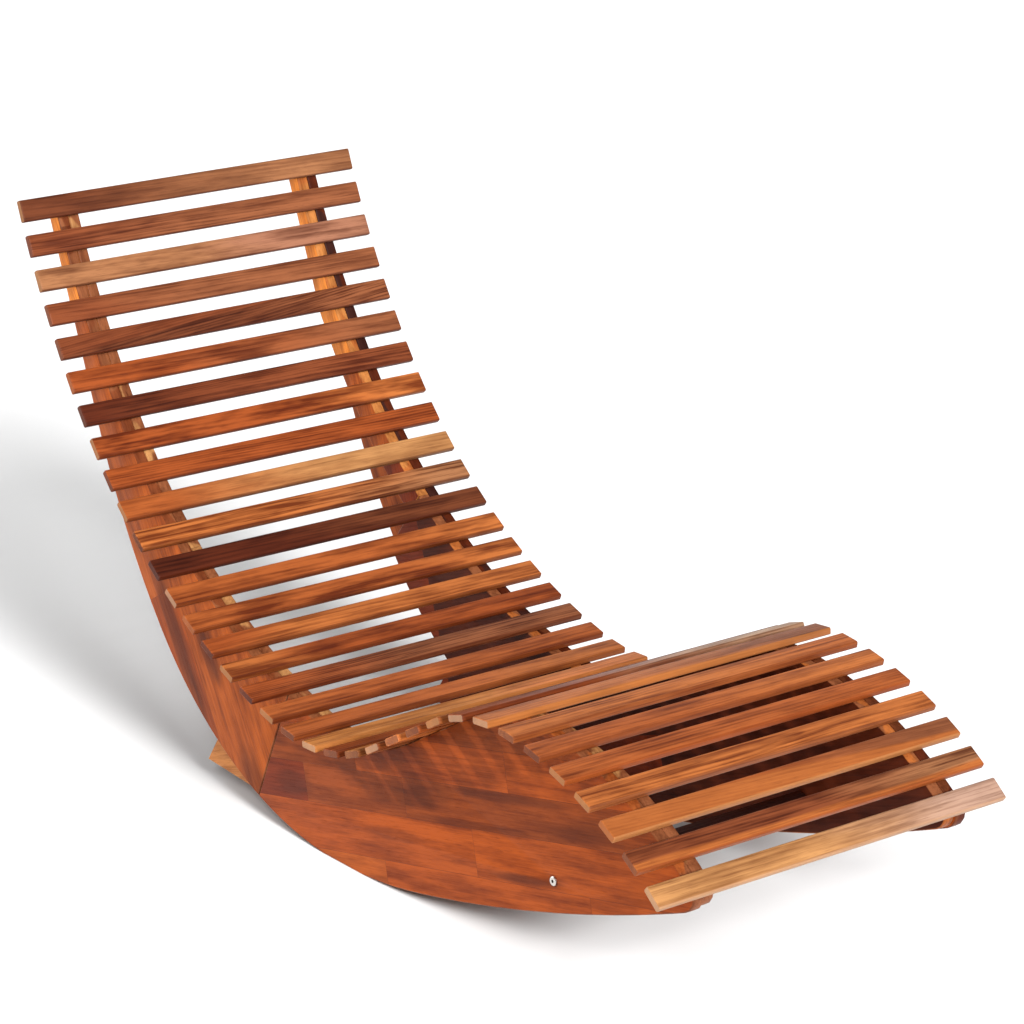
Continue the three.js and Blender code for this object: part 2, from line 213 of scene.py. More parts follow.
def stretched_noise(tree, vector, stretch, detail=2.0, roughness=0.5):
    """Noise drawn out along the grain: stretch gives its turns a metre along, across and into a board."""
    scaled = tree.nodes.new("ShaderNodeVectorMath")
    scaled.operation = "MULTIPLY"
    link(tree, vector, scaled.inputs[0])
    scaled.inputs[1].default_value = stretch
    noise = tree.nodes.new("ShaderNodeTexNoise")
    noise.inputs["Scale"].default_value = 1.0
    noise.inputs["Detail"].default_value = detail
    noise.inputs["Roughness"].default_value = roughness
    tree.links.new(scaled.outputs[0], noise.inputs["Vector"])
    return noise.outputs["Fac"]


def smooth_step(tree, value, low, high, to_low=0.0, to_high=1.0):
    """A smooth rise from to_low to to_high while value goes from low to high."""
    node = tree.nodes.new("ShaderNodeMapRange")
    node.interpolation_type = "SMOOTHSTEP"
    numbers = (value, low, high, to_low, to_high)
    for label, number in zip(("Value", "From Min", "From Max", "To Min", "To Max"), numbers):
        link(tree, number, node.inputs[label])
    return node.outputs[0]


def shader_group(name, takes, gives):
    """An empty shader group with named inputs, each with its resting value, and named outputs."""
    group = bpy.data.node_groups.new(name, "ShaderNodeTree")
    for label, kind, value in takes:
        socket = group.interface.new_socket(label, in_out="INPUT", socket_type="NodeSocket" + kind)
        if value is not None:
            socket.default_value = value
    for label, kind in gives:
        group.interface.new_socket(label, in_out="OUTPUT", socket_type="NodeSocket" + kind)
    return group, group.nodes.new("NodeGroupInput").outputs, group.nodes.new("NodeGroupOutput").inputs


# Grain of a board, in its log's own frame: the pith runs along the first axis through zero. Growth
# rings, clouds, streaks and fibres add up to a darkness from 0 to 1, which shades the board's tone.
palest, darkest = (1.40, 1.50, 1.54, 1), (0.40, 0.28, 0.23, 1)
ring_wander = 0.012
plain_darkness = 0.24
fibre_weight = 0.80
pore_weight = 0.4
figured_wood, taken, given = shader_group(
    "figured_wood",
    [
        ("Log Vector", "Vector", None),
        ("Tone", "Color", russet),
        ("Sapwood", "Color", tan),
        ("Ring Width", "Float", 0.004),
        ("Ring Depth", "Float", 0.3),
        ("Cloud Depth", "Float", 0.6),
        ("Streak Depth", "Float", 0.4),
        ("Sap Radius", "Float", 1.0),
        ("Sap Blend", "Float", 0.002),
    ],
    [("Color", "Color"), ("Roughness", "Float"), ("Height", "Float")],
)
sway = stretched_noise(figured_wood, taken["Log Vector"], (2.6, 24, 24))
cloud = stretched_noise(figured_wood, taken["Log Vector"], (9, 48, 48), 3.0, 0.55)
streak = stretched_noise(figured_wood, taken["Log Vector"], (7.0, 210, 210), 3.0, 0.6)
fibre = stretched_noise(figured_wood, taken["Log Vector"], (12, 430, 430), roughness=0.6)
pore = stretched_noise(figured_wood, taken["Log Vector"], (40, 1500, 1500), 1.0)
log_axes = figured_wood.nodes.new("ShaderNodeSeparateXYZ")
figured_wood.links.new(taken["Log Vector"], log_axes.inputs[0])
square_across = math_node(figured_wood, "MULTIPLY", log_axes.outputs[1], log_axes.outputs[1])
into = log_axes.outputs[2]
square_both = math_node(figured_wood, "MULTIPLY_ADD", into, into, square_across)
radius = math_node(figured_wood, "SQRT", square_both)
wander = math_node(figured_wood, "MULTIPLY_ADD", sway, ring_wander, radius)
ring = math_node(figured_wood, "FRACT", math_node(figured_wood, "DIVIDE", wander, taken["Ring Width"]))
late_wood = math_node(
    figured_wood,
    "MULTIPLY",
    smooth_step(figured_wood, ring, 0.2, 0.8),
    smooth_step(figured_wood, ring, 0.84, 1.0, 1.0, 0.0),
)
darkness = math_node(figured_wood, "MULTIPLY_ADD", late_wood, taken["Ring Depth"], plain_darkness)
for pattern, depth_input in ((cloud, "Cloud Depth"), (streak, "Streak Depth")):
    change = smooth_step(figured_wood, pattern, 0.3, 0.7, -0.5, 0.5)
    darkness = math_node(figured_wood, "MULTIPLY_ADD", change, taken[depth_input], darkness)
darkness = math_node(figured_wood, "MULTIPLY_ADD", fibre, fibre_weight, darkness)
darkness = math_node(figured_wood, "SUBTRACT", darkness, fibre_weight / 2, clamp=True)
depth = blend_colours(figured_wood, darkness, palest, darkest)
heart = blend_colours(figured_wood, 1.0, taken["Tone"], depth, "MULTIPLY")
soft_depth = blend_colours(figured_wood, 0.45, depth, (1.0, 1.0, 1.0, 1))
sapwood = blend_colours(figured_wood, 1.0, taken["Sapwood"], soft_depth, "MULTIPLY")
sap_edge = math_node(figured_wood, "SUBTRACT", wander, taken["Sap Radius"])
sap_edge = math_node(figured_wood, "DIVIDE", sap_edge, taken["Sap Blend"])
sap_share = smooth_step(figured_wood, sap_edge, -1.0, 1.0)
whole = blend_colours(figured_wood, sap_share, heart, sapwood)
pore_mask = smooth_step(figured_wood, pore, 0.60, 0.72)
pore_share = math_node(figured_wood, "MULTIPLY", pore_mask, pore_weight)
pored = blend_colours(figured_wood, pore_share, whole, maroon)
link(figured_wood, pored, given["Color"])
gloss = math_node(figured_wood, "MULTIPLY_ADD", fibre, 0.16, 0.32)
link(figured_wood, math_node(figured_wood, "MULTIPLY_ADD", pore_mask, 0.2, gloss), given["Roughness"])
fibre_relief = math_node(figured_wood, "MULTIPLY", fibre, 0.5)
relief = math_node(figured_wood, "MULTIPLY_ADD", pore_mask, -0.7, fibre_relief)
link(figured_wood, math_node(figured_wood, "MULTIPLY_ADD", late_wood, 0.25, relief), given["Height"])


def lay_log(tree, axes, centre=(0, 0, 0), pith=(0, 0, 0), tilt=0.0):
    """The Mapping node that carries Object coordinates into a log's frame.
    It turns the board's own axes (along, across, out) onto the log's, tips them by tilt, in degrees,
    and moves the board to where it lay in the log: pith gives its place from the pith."""
    lean = Euler((0.0, 0.0, math.radians(tilt))).to_matrix()
    turn = lean @ Matrix(axes)
    mapping = tree.nodes.new("ShaderNodeMapping")
    mapping.inputs["Rotation"].default_value = turn.to_euler("XYZ")
    mapping.inputs["Location"].default_value = Vector(pith) - turn @ Vector(centre)
    where = tree.nodes.new("ShaderNodeTexCoord")
    tree.links.new(where.outputs["Object"], mapping.inputs["Vector"])
    return mapping.outputs[0]


def attribute(tree, name):
    """The value that the piece's own named attribute has at this point of its surface."""
    node = tree.nodes.new("ShaderNodeAttribute")
    node.attribute_name = name
    return node.outputs["Fac"]


def new_finish(name, shine=oil_shine):
    """A material with its shader set for oiled wood, and a function that wires its patterns to it:
    colour, gloss and relief."""
    material = bpy.data.materials.new(name)
    material.use_nodes = True
    tree = material.node_tree
    shader = tree.nodes["Principled BSDF"]
    shader.inputs["Specular IOR Level"].default_value = shine

    def finish(colour, roughness, height):
        """Wires the patterns to the shader, the height by way of a bump."""
        bump = tree.nodes.new("ShaderNodeBump")
        bump.inputs["Strength"].default_value = 0.35
        bump.inputs["Distance"].default_value = grain_relief
        link(tree, height, bump.inputs["Height"])
        link(tree, bump.outputs["Normal"], shader.inputs["Normal"])
        link(tree, colour, shader.inputs["Base Color"])
        link(tree, roughness, shader.inputs["Roughness"])

    return material, tree, finish


def hardwood(name, axes, centre, pith, tilt, tones, turn=(-260, 260), end=fawn, edge=maroon, **figure):
    """Oiled hardwood for one straight bar: figured wood whose tone turns from near to far between
    two places along it, in mm, with tones of their own on its cut ends and its footward edge. On the
    slats the far tone partly paints a pale sheen, and the footward edge's tone is painted shade where
    it is dark and a painted highlight where it is light."""
    material, tree, finish = new_finish(name)
    log_vector = lay_log(tree, axes, centre, pith, tilt)
    wood = tree.nodes.new("ShaderNodeGroup")
    wood.node_tree = figured_wood
    link(tree, log_vector, wood.inputs["Log Vector"])
    along = tree.nodes.new("ShaderNodeSeparateXYZ")
    where = tree.nodes.new("ShaderNodeTexCoord")
    tree.links.new(where.outputs["Object"], along.inputs[0])
    drift = stretched_noise(tree, log_vector, (4, 40, 40))
    drift = math_node(tree, "MULTIPLY_ADD", drift, tone_drift, -tone_drift / 2)
    place = math_node(tree, "ADD", along.outputs[1], drift)
    # The far tone is partly the wood's own and partly a painted pale sheen at the far ends of the level
    # slats.
    far_share = smooth_step(tree, place, turn[0] / 1000, turn[1] / 1000)
    link(tree, blend_colours(tree, far_share, *tones), wood.inputs["Tone"])
    for label, value in figure.items():
        wood.inputs[label.replace("_", " ").title()].default_value = value
    # The footward edge's tone: painted shade where it is dark, a painted highlight where it is light.
    painted_foot_edge = math_node(tree, "MULTIPLY", attribute(tree, "painted_foot_edge"), 0.6)
    colour = blend_colours(tree, painted_foot_edge, wood.outputs["Color"], edge)
    cut_end = math_node(tree, "MULTIPLY", attribute(tree, "cut_end"), 0.65)
    colour = blend_colours(tree, cut_end, colour, end)
    finish(colour, wood.outputs["Roughness"], wood.outputs["Height"])
    return material


def mesh_points(mesh):
    """The mesh's points as an array, three numbers a row."""
    points = np.empty(len(mesh.vertices) * 3)
    mesh.vertices.foreach_get("co", points)
    return points.reshape(-1, 3)


def show(name, mesh, material, node):
    """Puts a finished mesh in the scene as a piece that rides on the frame and stands for a CAD node."""
    mesh.materials.clear()
    mesh.materials.append(material)
    piece = bpy.data.objects.new(name, mesh)
    scene.collection.objects.link(piece)
    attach(piece, "root")
    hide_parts(node)


def eased_bar(name, centre, along, across, out, size):
    """A straight bar with a rounded section and eased ends.
    The section is a rectangle with quarter circles at its corners. Towards an end it draws in
    by e(1 - cos t) while it goes on by e sin t, and a flat face closes it."""
    length, width, thickness = size
    corner_points, ease_rings, middle_rings, margin = 5, 4, 13, 0.002
    quarter = np.linspace(0.0, np.pi / 2, corner_points)
    turns = (quarter[None, :] + np.arange(4)[:, None] * np.pi / 2).ravel()
    side = np.repeat([[1, 1], [-1, 1], [-1, -1], [1, -1]], corner_points, axis=0)
    ease = np.linspace(0.0, np.pi / 2, ease_rings)
    drawn = slat_end_ease * (1 - np.cos(ease))
    run = length / 2 - slat_end_ease + slat_end_ease * np.sin(ease)
    middle = np.linspace(-run[0] + margin, run[0] - margin, middle_rings)
    stations = np.concatenate([-run[::-1], middle, run])
    inset = np.concatenate([drawn[::-1], np.zeros(middle_rings), drawn])
    radius = slat_corner - inset[:, None]
    core = np.array([width / 2, thickness / 2]) - slat_corner
    u = side[:, 0] * core[0] + radius * np.cos(turns)
    v = side[:, 1] * core[1] + radius * np.sin(turns)
    run_along = np.broadcast_to(stations[:, None], u.shape)
    points = centre + run_along[..., None] * along + u[..., None] * across + v[..., None] * out
    rows, columns = u.shape
    index = np.arange(rows * columns).reshape(rows, columns)
    after = np.roll(index, -1, axis=1)
    quads = np.stack([index[:-1], after[:-1], after[1:], index[1:]], axis=-1).reshape(-1, 4)
    caps = [index[0][::-1].tolist(), index[-1].tolist()]
    mesh = bpy.data.meshes.new(name)
    mesh.from_pydata(points.reshape(-1, 3).tolist(), [], quads.tolist() + caps)
    smooth = np.ones(len(mesh.polygons), bool)
    smooth[-2:] = False
    mesh.polygons.foreach_set("use_smooth", smooth)
    # Marks the footward edge, which takes a painted shade with dark tones and a painted highlight with
    # light ones.
    footward = np.tile((side[:, 0] < 0) & (turns > np.pi / 2 + 0.1), rows).astype(float)
    ends = np.repeat(np.isin(np.arange(rows), [0, rows - 1]).astype(float), columns)
    for label, values in (("painted_foot_edge", footward), ("cut_end", ends)):
        mesh.attributes.new(label, "FLOAT", "POINT").data.foreach_set("value", values)
    return mesh


# One row a slat, from the head: slot, tone at the near and at the far end, where the tone turns
# along it in mm, tones of its cut ends and footward edge, its place in the log across and above the
# pith in mm, its tilt there in degrees, ring width in mm, depths of rings, clouds and streaks, and
# for a slat with sapwood, the sapwood's inner radius in mm and its tone. Its width and thickness run
# the ways in which its CAD corners spread most and least. The far tones are partly the wood's own
# and partly a painted pale sheen on the level slats. The footward edge's tone is painted shade where
# it is dark and a painted highlight where it is light.
log_spacing = 0.87
no_sapwood = (1000, tan)
slat_woods = [
    ("wood_brown", umber, fawn, (-280, 330), tan, maroon, 30, 42, 1.1, 4.0, 0.2, 0.6, 0.3),
    ("wood_brown", cocoa, brown, (-260, 0), cocoa, maroon, -22, 35, 0.6, 2.8, 0.3, 0.5, 0.6),
    ("wood_honey", fawn, hazel, (-60, 160), tan, maroon, 22, 60, 0.9, 4.5, 0.2, 0.8, 0.3),
    ("wood_brown", cocoa, brown, (-260, 0), brown, maroon, 26, 30, 0.7, 3.0, 0.25, 0.5, 0.5),
    ("wood_umber", umber, brown, (40, 260), brown, maroon, 54, 36, -4.6, 3.4, 0.4, 0.7, 0.9, 81, cocoa),
    ("wood_russet", rust, brown, (-200, 260), ginger, maroon, 34, 50, 0.8, 4.0, 0.25, 0.8, 0.3),
    ("wood_umber", maroon, cocoa, (-300, 120), umber, maroon, 24, 26, 0.4, 2.6, 0.3, 0.6, 0.7),
    ("wood_russet", rust, ginger, (0, 260), tan, maroon, -36, 48, 1.4, 4.5, 0.3, 1.2, 0.3),
    ("wood_russet", rust, rust, (-260, 260), umber, maroon, 32, 28, 0.8, 2.8, 0.35, 0.5, 0.5),
    ("wood_tan", russet, tan, (-260, 120), tan, maroon, 40, 70, 1.0, 5.0, 0.15, 0.5, 0.2),
    ("wood_brown", ginger, fawn, (-100, 300), maroon, maroon, 2, 18, 0.5, 3.0, 0.6, 0.5, 0.9),
    ("wood_umber", maroon, umber, (-100, 200), maroon, maroon, 34, 40, 0.6, 3.2, 0.25, 0.6, 0.6),
    ("wood_russet", russet, ginger, (60, 300), blond, maroon, -20, 36, 0.7, 4.0, 0.2, 0.8, 0.4),
    ("wood_russet", russet, ginger, (60, 300), ginger, maroon, 16, 52, 0.9, 4.0, 0.3, 1.0, 0.3),
    ("wood_russet", rust, ginger, (-300, -120), maroon, maroon, -30, 60, 0.6, 3.6, 0.3, 0.6, 0.4),
    ("wood_russet", ginger, rust, (-300, -140), tan, maroon, 10, 30, 1.0, 3.6, 0.3, 0.9, 0.4),
    ("wood_brown", rust, brown, (-260, 0), maroon, maroon, -28, 24, 0.6, 2.8, 0.4, 0.6, 0.7),
    ("wood_brown", russet, russet, (0, 260), tan, maroon, 28, 46, 0.8, 3.6, 0.25, 0.6, 0.5),
    ("wood_honey", russet, ginger, (-120, 180), umber, maroon, -24, 50, 0.7, 3.6, 0.25, 0.6, 0.4),
    ("wood_brown", honey, apricot_painted_light, (-60, 260), blond, honey, 20, 38, 0.9, 3.6, 0.2, 0.5, 0.4),
    ("wood_umber", rust, ginger, (-100, 300), brown, maroon, 28, 28, 0.6, 3.2, 0.3, 0.6, 0.5),
    ("wood_brown", honey, ginger, (0, 200), brown, maroon, -22, 44, 0.8, 3.6, 0.2, 0.6, 0.4),
    ("wood_honey", ginger, ginger, (-260, 0), blond, maroon, 30, 56, 0.8, 4.0, 0.2, 0.6, 0.3),
    # Slat 24's apricot is painted light, lifting a slat that lies in shade in the seat's valley.
    ("wood_honey", apricot_painted_light, apricot_painted_light, (-260, -60), brown, ginger, -30, 62, 0.9, 4.0, 0.2, 0.6, 0.4),
    ("wood_umber", ginger, blond, (-60, 260), umber, rust, 24, 34, 0.7, 3.2, 0.3, 0.7, 0.5),
    ("wood_tan", ginger, brown, (-300, -60), tan, maroon, -26, 50, 0.9, 4.0, 0.25, 0.7, 0.4),
    ("wood_honey", rust, blond, (-60, 200), blond, maroon, 28, 42, 0.6, 3.4, 0.3, 0.7, 0.5),
    ("wood_brown", ginger, brown, (-40, 240), blond, honey, 36, 48, 0.8, 3.6, 0.25, 0.6, 0.4),
    ("wood_russet", ginger, russet, (0, 500), brown, cocoa, 4, 22, 0.6, 2.8, 0.4, 0.5, 0.7),
    ("wood_brown", russet, ginger, (-100, 300), umber, cocoa, -26, 36, 0.7, 3.4, 0.25, 0.6, 0.5),
    ("wood_brown", russet, russet, (-260, -100), tan, rust, 32, 40, 0.6, 3.4, 0.25, 0.6, 0.5),
    ("wood_russet", ginger, ginger, (0, 280), tan, brown, -8, 24, 0.5, 2.8, 0.4, 0.6, 0.6),
    ("wood_honey", russet, brown, (-60, 240), ginger, tan, -50, 30, 3.4, 4.5, 0.2, 0.4, 0.3, 61, ginger),
    ("wood_umber", cocoa, fawn, (0, 300), brown, rust, -62, 35, 0.3, 4.0, 0.3, 0.6, 0.7, 86, ginger),
    # Slat 35's far tone is a painted pale sheen.
    ("wood_tan", tan, blush_sheen, (-60, 260), blond, blond, 26, 48, 0.7, 3.6, 0.2, 0.45, 0.3),
]
grain_axis = np.array([0.0, 1.0, 0.0])
for number, row in enumerate(slat_woods, start=1):
    slot, near_tone, far_tone_and_sheen, turn, end_tone, edge_tone, across_pith, above_pith = row[:8]
    tilt, rings, ring_depth, cloud_depth, streak_depth, *sap = row[8:]
    sap_radius, sap_tone = sap or no_sapwood
    node = f"slat_{number:02d}"
    corners = mesh_points(frame["nodes"][node].data)
    centre = (corners.min(axis=0) + corners.max(axis=0)) / 2
    directions = np.linalg.eigh(np.cov((corners - centre)[:, [0, 2]].T))[1]
    headward = np.array([directions[0, 1], 0.0, directions[1, 1]])
    if headward[0] > 0:
        headward = -headward
    seatward = np.cross(grain_axis, headward)
    size = [np.ptp(corners @ axis) for axis in (grain_axis, headward, seatward)]
    mesh = eased_bar(f"slat_bar_{number:02d}", centre, grain_axis, headward, seatward, size)
    wood = hardwood(
        f"slat_wood_{number:02d}",
        (grain_axis, headward, seatward),
        centre,
        (log_spacing * number, across_pith / 1000, above_pith / 1000),
        tilt,
        (near_tone, far_tone_and_sheen),
        turn,
        end=end_tone,
        edge=edge_tone,
        ring_width=rings / 1000,
        ring_depth=ring_depth,
        cloud_depth=cloud_depth,
        streak_depth=streak_depth,
        sap_radius=sap_radius / 1000,
        sapwood=sap_tone,
    )
    show(f"slat_bar_{number:02d}", mesh, wood, node)


# The base panels: the broad outer boards of the side frames, each glued up from staves that
# slope towards the foot and are butted end to end, then sawn to its curves, rounded and oiled.
board_rounding = 0.0022
stave_joint = 0.00035
stave_shift = 0.43
pith_distance = 0.05
board_shine = 0.08
amber = tone(142, 65, 18)
paprika = tone(136, 58, 14)
brick = tone(117, 50, 14)
mahogany = tone(104, 36, 8)


def rounded_board(name, node):
    """A board cut to its CAD outline, with its long edges rounded over.
    Each point of the outline draws in along its corner's bisector by r(1 - cos t) while it rises
    by r sin t, on both faces. The CAD triangles close the faces, with their bores."""
    edge_rings, crease, tolerance = 5, 24, 0.0001
    source = frame["nodes"][node].data
    source.calc_loop_triangles()
    triangles = np.empty(len(source.loop_triangles) * 3, int)
    source.loop_triangles.foreach_get("vertices", triangles)
    points, merged = np.unique(np.round(mesh_points(source), 5), axis=0, return_inverse=True)
    triangles = merged.ravel()[triangles].reshape(-1, 3)
    reach = np.abs(points[:, 1])
    face = triangles[np.all(reach[triangles] > reach.max() - tolerance, axis=1)]
    start, end = face[:, [0, 1, 2]].ravel(), face[:, [1, 2, 0]].ravel()
    rim = ~np.isin(start * len(points) + end, end * len(points) + start)
    start, end = start[rim], end[rim]
    column = np.full(len(points), -1)
    column[start] = np.arange(len(start))
    corners = points[start]
    step = points[end] - corners
    step /= np.linalg.norm(step, axis=1)[:, None]
    before = np.empty_like(step)
    before[column[end]] = step
    outward = np.array([0.0, np.sign(corners[0, 1]), 0.0])
    inward_before, inward_after = np.cross(outward, before), np.cross(outward, step)
    corner = 1 + np.sum(inward_before * inward_after, axis=1)
    inward = (inward_before + inward_after) / np.maximum(corner, 0.4)[:, None]
    thickness = reach.max() - reach.min()
    turn = np.linspace(0.0, np.pi / 2, edge_rings)
    drawn = board_rounding * (1 - np.cos(turn))
    drawn = np.concatenate([drawn[::-1], drawn])
    sunk = board_rounding * (1 - np.sin(turn))
    sunk = np.concatenate([thickness - sunk[::-1], sunk])
    rings = corners + drawn[:, None, None] * inward - sunk[:, None, None] * outward
    rows, columns = rings.shape[:2]
    index = np.arange(rows * columns).reshape(rows, columns)
    after = index[:, column[end]]
    quads = np.stack([index[:-1], after[:-1], after[1:], index[1:]], axis=-1).reshape(-1, 4)
    near_face, far_face = index[-1][column[face]], index[0][column[face]][:, ::-1]
    faces = quads.tolist() + near_face.tolist() + far_face.tolist()
    mesh = bpy.data.meshes.new(name)
    mesh.from_pydata(rings.reshape(-1, 3).tolist(), [], faces)
    smooth = np.arange(len(mesh.polygons)) < len(quads)
    mesh.polygons.foreach_set("use_smooth", smooth)
    mesh.set_sharp_from_angle(angle=math.radians(crease))
    flank = np.repeat(np.isin(np.arange(rows), [0, rows - 1]).astype(float), columns)
    mesh.attributes.new("flank", "FLOAT", "POINT").data.foreach_set("value", flank)
    return mesh


def switch(tree, share, under, over):
    """One number or another by a share of 0 or 1, as an output socket."""
    rest = math_node(tree, "MULTIPLY", under, math_node(tree, "SUBTRACT", 1.0, share))
    return math_node(tree, "MULTIPLY_ADD", over, share, rest)


def glued_board(name, slope, courses, edge_tones, shades=(), patch_level=0.5, first_log=0):
    """Oiled board of staves, whose courses lie one above the other along a slope, in degrees from the
    floor. A course is (its top edge in mm, [(where a stave ends in mm, its tone), ...]), the last
    stave and the last course going on to the board's own edge. Each course comes from another log.
    The sawn edges take two tones by turns, the second where a noise passes the patch level. The edge
    tones are partly the ends of the staves and partly painted light and shade: darker than the faces
    where the slats shade the edges, and lighter in patches where light falls through the gaps. A shade
    is a dark cloud: (place along and up, half its length and height in mm, its depth). Most are
    heartwood, and a few are painted shadow, marked so in their lists."""
    material, tree, finish = new_finish(name, board_shine)
    sine, cosine = math.sin(math.radians(slope)), math.cos(math.radians(slope))
    board = lay_log(tree, ((cosine, 0.0, sine), (-sine, 0.0, cosine), (0.0, -1.0, 0.0)))
    split = tree.nodes.new("ShaderNodeSeparateXYZ")
    tree.links.new(board, split.inputs[0])
    along, up = split.outputs[0], split.outputs[1]
    below = None
    for log, (top, staves) in enumerate(courses, start=first_log):
        course_tone, course_shift, course_seams = staves[0][1], float(log), 0.0
        for (end, _), (_, next_tone) in zip(staves, staves[1:]):
            past = math_node(tree, "GREATER_THAN", along, end / 1000)
            course_tone = blend_colours(tree, past, course_tone, next_tone)
            course_shift = math_node(tree, "MULTIPLY_ADD", past, stave_shift, course_shift)
            butt = math_node(tree, "COMPARE", along, end / 1000, stave_joint)
            course_seams = math_node(tree, "MAXIMUM", butt, course_seams)
        if below is None:
            colour, shift, seams = course_tone, course_shift, course_seams
        else:
            above = math_node(tree, "GREATER_THAN", up, below / 1000)
            colour = blend_colours(tree, above, colour, course_tone)
            shift = switch(tree, above, shift, course_shift)
            edge = math_node(tree, "COMPARE", up, below / 1000, stave_joint)
            seams = math_node(tree, "MAXIMUM", switch(tree, above, seams, course_seams), edge)
        below = top
    sideways = math_node(tree, "SINE", math_node(tree, "MULTIPLY", shift, 9.0))
    moved = tree.nodes.new("ShaderNodeCombineXYZ")
    link(tree, math_node(tree, "MULTIPLY", shift, 1.7), moved.inputs[0])
    link(tree, math_node(tree, "MULTIPLY", sideways, pith_distance), moved.inputs[1])
    link(tree, pith_distance, moved.inputs[2])
    stave = tree.nodes.new("ShaderNodeVectorMath")
    tree.links.new(board, stave.inputs[0])
    tree.links.new(moved.outputs[0], stave.inputs[1])
    wood = tree.nodes.new("ShaderNodeGroup")
    wood.node_tree = figured_wood
    link(tree, stave.outputs[0], wood.inputs["Log Vector"])
    patches = stretched_noise(tree, board, (16, 16, 30), 1.0)
    patches = smooth_step(tree, patches, patch_level - 0.03, patch_level + 0.03)
    edge_colour = blend_colours(tree, patches, *edge_tones)
    link(tree, blend_colours(tree, attribute(tree, "flank"), edge_colour, colour), wood.inputs["Tone"])
    wood.inputs["Ring Width"].default_value = 0.006
    wood.inputs["Ring Depth"].default_value = 0.12
    wood.inputs["Cloud Depth"].default_value = 0.6
    wood.inputs["Streak Depth"].default_value = 0.16
    whole = wood.outputs["Color"]
    ragged = stretched_noise(tree, board, (7, 60, 60), 3.0)
    for place_along, place_up, half_length, half_height, depth in shades:
        aside = math_node(tree, "SUBTRACT", along, place_along / 1000)
        aside = math_node(tree, "DIVIDE", aside, half_length / 1000)
        above = math_node(tree, "SUBTRACT", up, place_up / 1000)
        above = math_node(tree, "DIVIDE", above, half_height / 1000)
        reach = math_node(tree, "MULTIPLY_ADD", aside, aside, math_node(tree, "MULTIPLY", above, above))
        reach = math_node(tree, "ADD", reach, math_node(tree, "MULTIPLY", ragged, 1.4))
        whole = blend_colours(tree, smooth_step(tree, reach, 0.6, 1.9, depth, 0.0), whole, maroon)
    whole = blend_colours(tree, math_node(tree, "MULTIPLY", seams, 0.6), whole, maroon)
    finish(whole, wood.outputs["Roughness"], math_node(tree, "SUBTRACT", wood.outputs["Height"], seams))
    return material


base_courses = [
    (-38, [(300, brick), (None, paprika)]),
    (20.5, [(101, amber), (571, paprika), (None, paprika)]),
    (88.5, [(323, paprika), (None, paprika)]),
    (146, [(-77, mahogany), (171, brick), (None, brick)]),
    (203, [(60, brick), (420, paprika), (None, paprika)]),
    (260, [(250, paprika), (None, brick)]),
    (None, [(None, brick)]),
]
base_shades = [
    (205, 130, 75, 26, 0.8),
    (-110, 112, 50, 30, 0.6),
    (440, 30, 90, 9, 0.75),
    (560, 105, 110, 20, 0.6),
    (330, 92, 220, 8, 0.5),
    (420, 138, 150, 9, 0.6),
    (130, 60, 90, 12, 0.3),
    # painted shadow: the darker band that the seat slats throw on the panel under slats 20 to 27
    (140, 176, 130, 30, 0.6),
    (128, 116, 70, 24, 0.4),
    # painted shade: a dark ring round the cross rail bolt's head, where it sits in its recess
    (495.8, 34.9, 10, 10, 0.9),  # round the cross rail bolt
]
# The base boards' edge tones are darker than their faces: partly the stave ends, partly painted shade
# under the slats.
for side, edge_tones in (("left", (umber, maroon)), ("right", (russet, brown))):
    name = f"base_board_{side}"
    base_wood = glued_board(f"base_wood_{side}", 12.5, base_courses, edge_tones, base_shades)
    show(name, rounded_board(name, f"base_panel_{side}"), base_wood, f"base_panel_{side}")

# The back panels: the outer boards of the back, of staves that run along it, with a darker
# stave at the rear edge. They meet the base panels in a plain seam over the inner layer.
deep_shade = tone(46, 21, 16)
gold = tone(196, 112, 42)
back_courses = [
    (236, [(None, amber)]),
    (None, [(480, paprika), (930, amber), (None, gold)]),
]
back_shades = [
    (400, 266, 160, 26, 0.8),
    (300, 252, 70, 14, 0.5),
    (167, 175, 60, 34, 0.6),
    (376, 190, 70, 24, 0.85),
    (620, 300, 120, 9, 0.4),
]
# The back boards' edge tones are partly painted shade as well, near black on the far board.
for side, edge_tones in (("left", (deep_shade, maroon)), ("right", (brown, cocoa))):
    name = f"back_board_{side}"
    back_wood = glued_board(f"back_wood_{side}", 120, back_courses, edge_tones, back_shades, first_log=1)
    show(name, rounded_board(name, f"back_panel_{side}"), back_wood, f"back_panel_{side}")

# The inner layer: a slim rail up the back and a stave-built liner behind the base, whose lower
# rear corner stands out behind the rocker edge as the stop against tipping back. Glue and the lap
# bolts, driven from inside, hold the layers together.
# The rails run from gold at the top to mahogany low down; the dark lower part is partly painted shade.
rail_courses = [(None, [(580, mahogany), (720, amber), (None, gold)])]
# The far liner's inner face is maroon and mahogany: painted shade, for the deep shade that lies on it.
left_liner_shaded = [
    (20.5, [(0, mahogany), (400, maroon), (None, maroon)]),
    (88.5, [(200, mahogany), (None, maroon)]),
    (None, [(-300, mahogany), (300, maroon), (None, maroon)]),
]
right_liner = [
    (20.5, [(-190, honey), (None, mahogany)]),
    (None, [(-190, honey), (None, mahogany)]),
]
